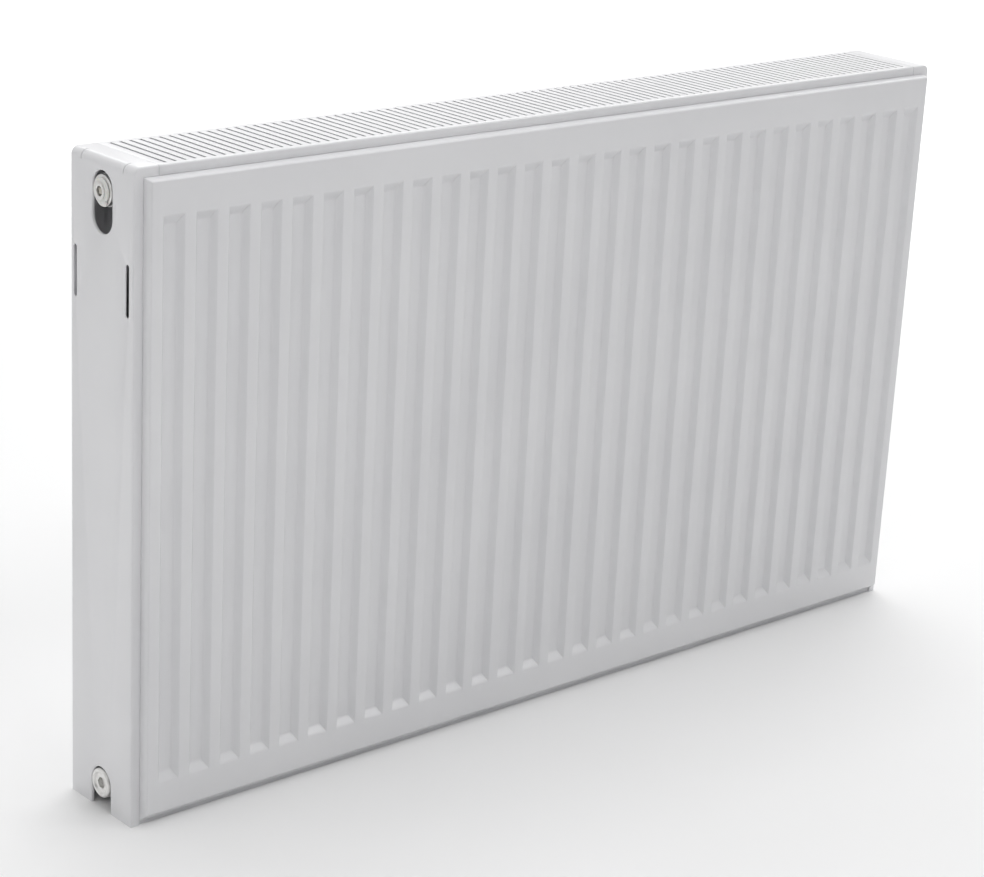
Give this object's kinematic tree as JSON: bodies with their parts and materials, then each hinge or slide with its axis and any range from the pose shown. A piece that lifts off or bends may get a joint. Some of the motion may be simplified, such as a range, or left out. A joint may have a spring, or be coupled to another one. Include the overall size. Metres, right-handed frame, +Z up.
{
  "type": "panel radiator",
  "caption": "Compact steel panel radiator with a fluted front, slotted top grille, clip-on side panels, side ports and a manual air vent plug.",
  "frame": {"origin": "centre of the bounding box in plan, on the plane of the bottom edges", "axes": "+X along the length away from the air vent, -Y out of the fluted face into the room, +Y towards the wall, +Z up"},
  "size_m": [1.0028, 0.114, 0.6],
  "materials": {
    "white_coat": "semi-gloss powder coat, traffic white",
    "casing_coat": "semi-gloss powder coat, traffic white",
    "nickel": "satin nickel plate",
    "vent_plastic": "moulded white plastic",
    "screw_brass": "turned brass, dulled",
    "spring_steel": "zinc-plated spring steel",
    "seal": "black rubber"
  },
  "bodies": {
    "radiator": {"front_panel_outer_sheet": "white_coat", "front_panel_inner_sheet": "white_coat", "front_convector": "white_coat", "rear_convector": "white_coat", "rear_panel_inner_sheet": "white_coat", "rear_panel_outer_sheet": "white_coat", "tee_top_left": "white_coat", "tee_bottom_left": "white_coat", "tee_top_right": "white_coat", "tee_bottom_right": "white_coat", "lug_top_left": "white_coat", "lug_top_right": "white_coat", "lug_bottom_left": "white_coat", "lug_bottom_right": "white_coat", "grille_clips": "spring_steel", "vent_plug_body": "nickel", "vent_plug_gasket": "seal", "blind_plug": "nickel", "blind_plug_gasket": "seal"},
    "grille": {"top_grille": "casing_coat"},
    "left_side": {"side_panel_left": "casing_coat"},
    "right_side": {"side_panel_right": "casing_coat"},
    "vent_ring": {"vent_outlet_ring": "vent_plastic"},
    "vent_pad": {"bleed_seal_pad": "seal"},
    "vent_screw": {"bleed_screw": "screw_brass"}
  },
  "joints": [
    {"name": "grille_lift", "type": "slide", "parent": "radiator", "child": "grille", "axis": [0, 0, 1], "range_m": [0, 0.05]},
    {"name": "left_side_lift", "type": "slide", "parent": "radiator", "child": "left_side", "axis": [0, 0, 1], "range_m": [0, 0.02]},
    {"name": "right_side_lift", "type": "slide", "parent": "radiator", "child": "right_side", "axis": [0, 0, 1], "range_m": [0, 0.02]},
    {"name": "vent_ring_turn", "type": "hinge", "parent": "radiator", "child": "vent_ring", "pos_m": [-0.4986, 0.00075, 0.571], "axis": [-1, 0, 0], "continuous": true},
    {"name": "bleed_travel", "type": "slide", "parent": "radiator", "child": "vent_pad", "axis": [-1, 0, 0], "range_m": [0, 0.0008]},
    {"name": "bleed_turn", "type": "hinge", "parent": "vent_pad", "child": "vent_screw", "pos_m": [-0.4986, 0.00075, 0.571], "axis": [-1, 0, 0], "range_deg": [0, 360]}
  ],
  "couplings": [
    {"joint": "bleed_turn", "follows": "bleed_travel", "rad_per_m": 7854}
  ]
}
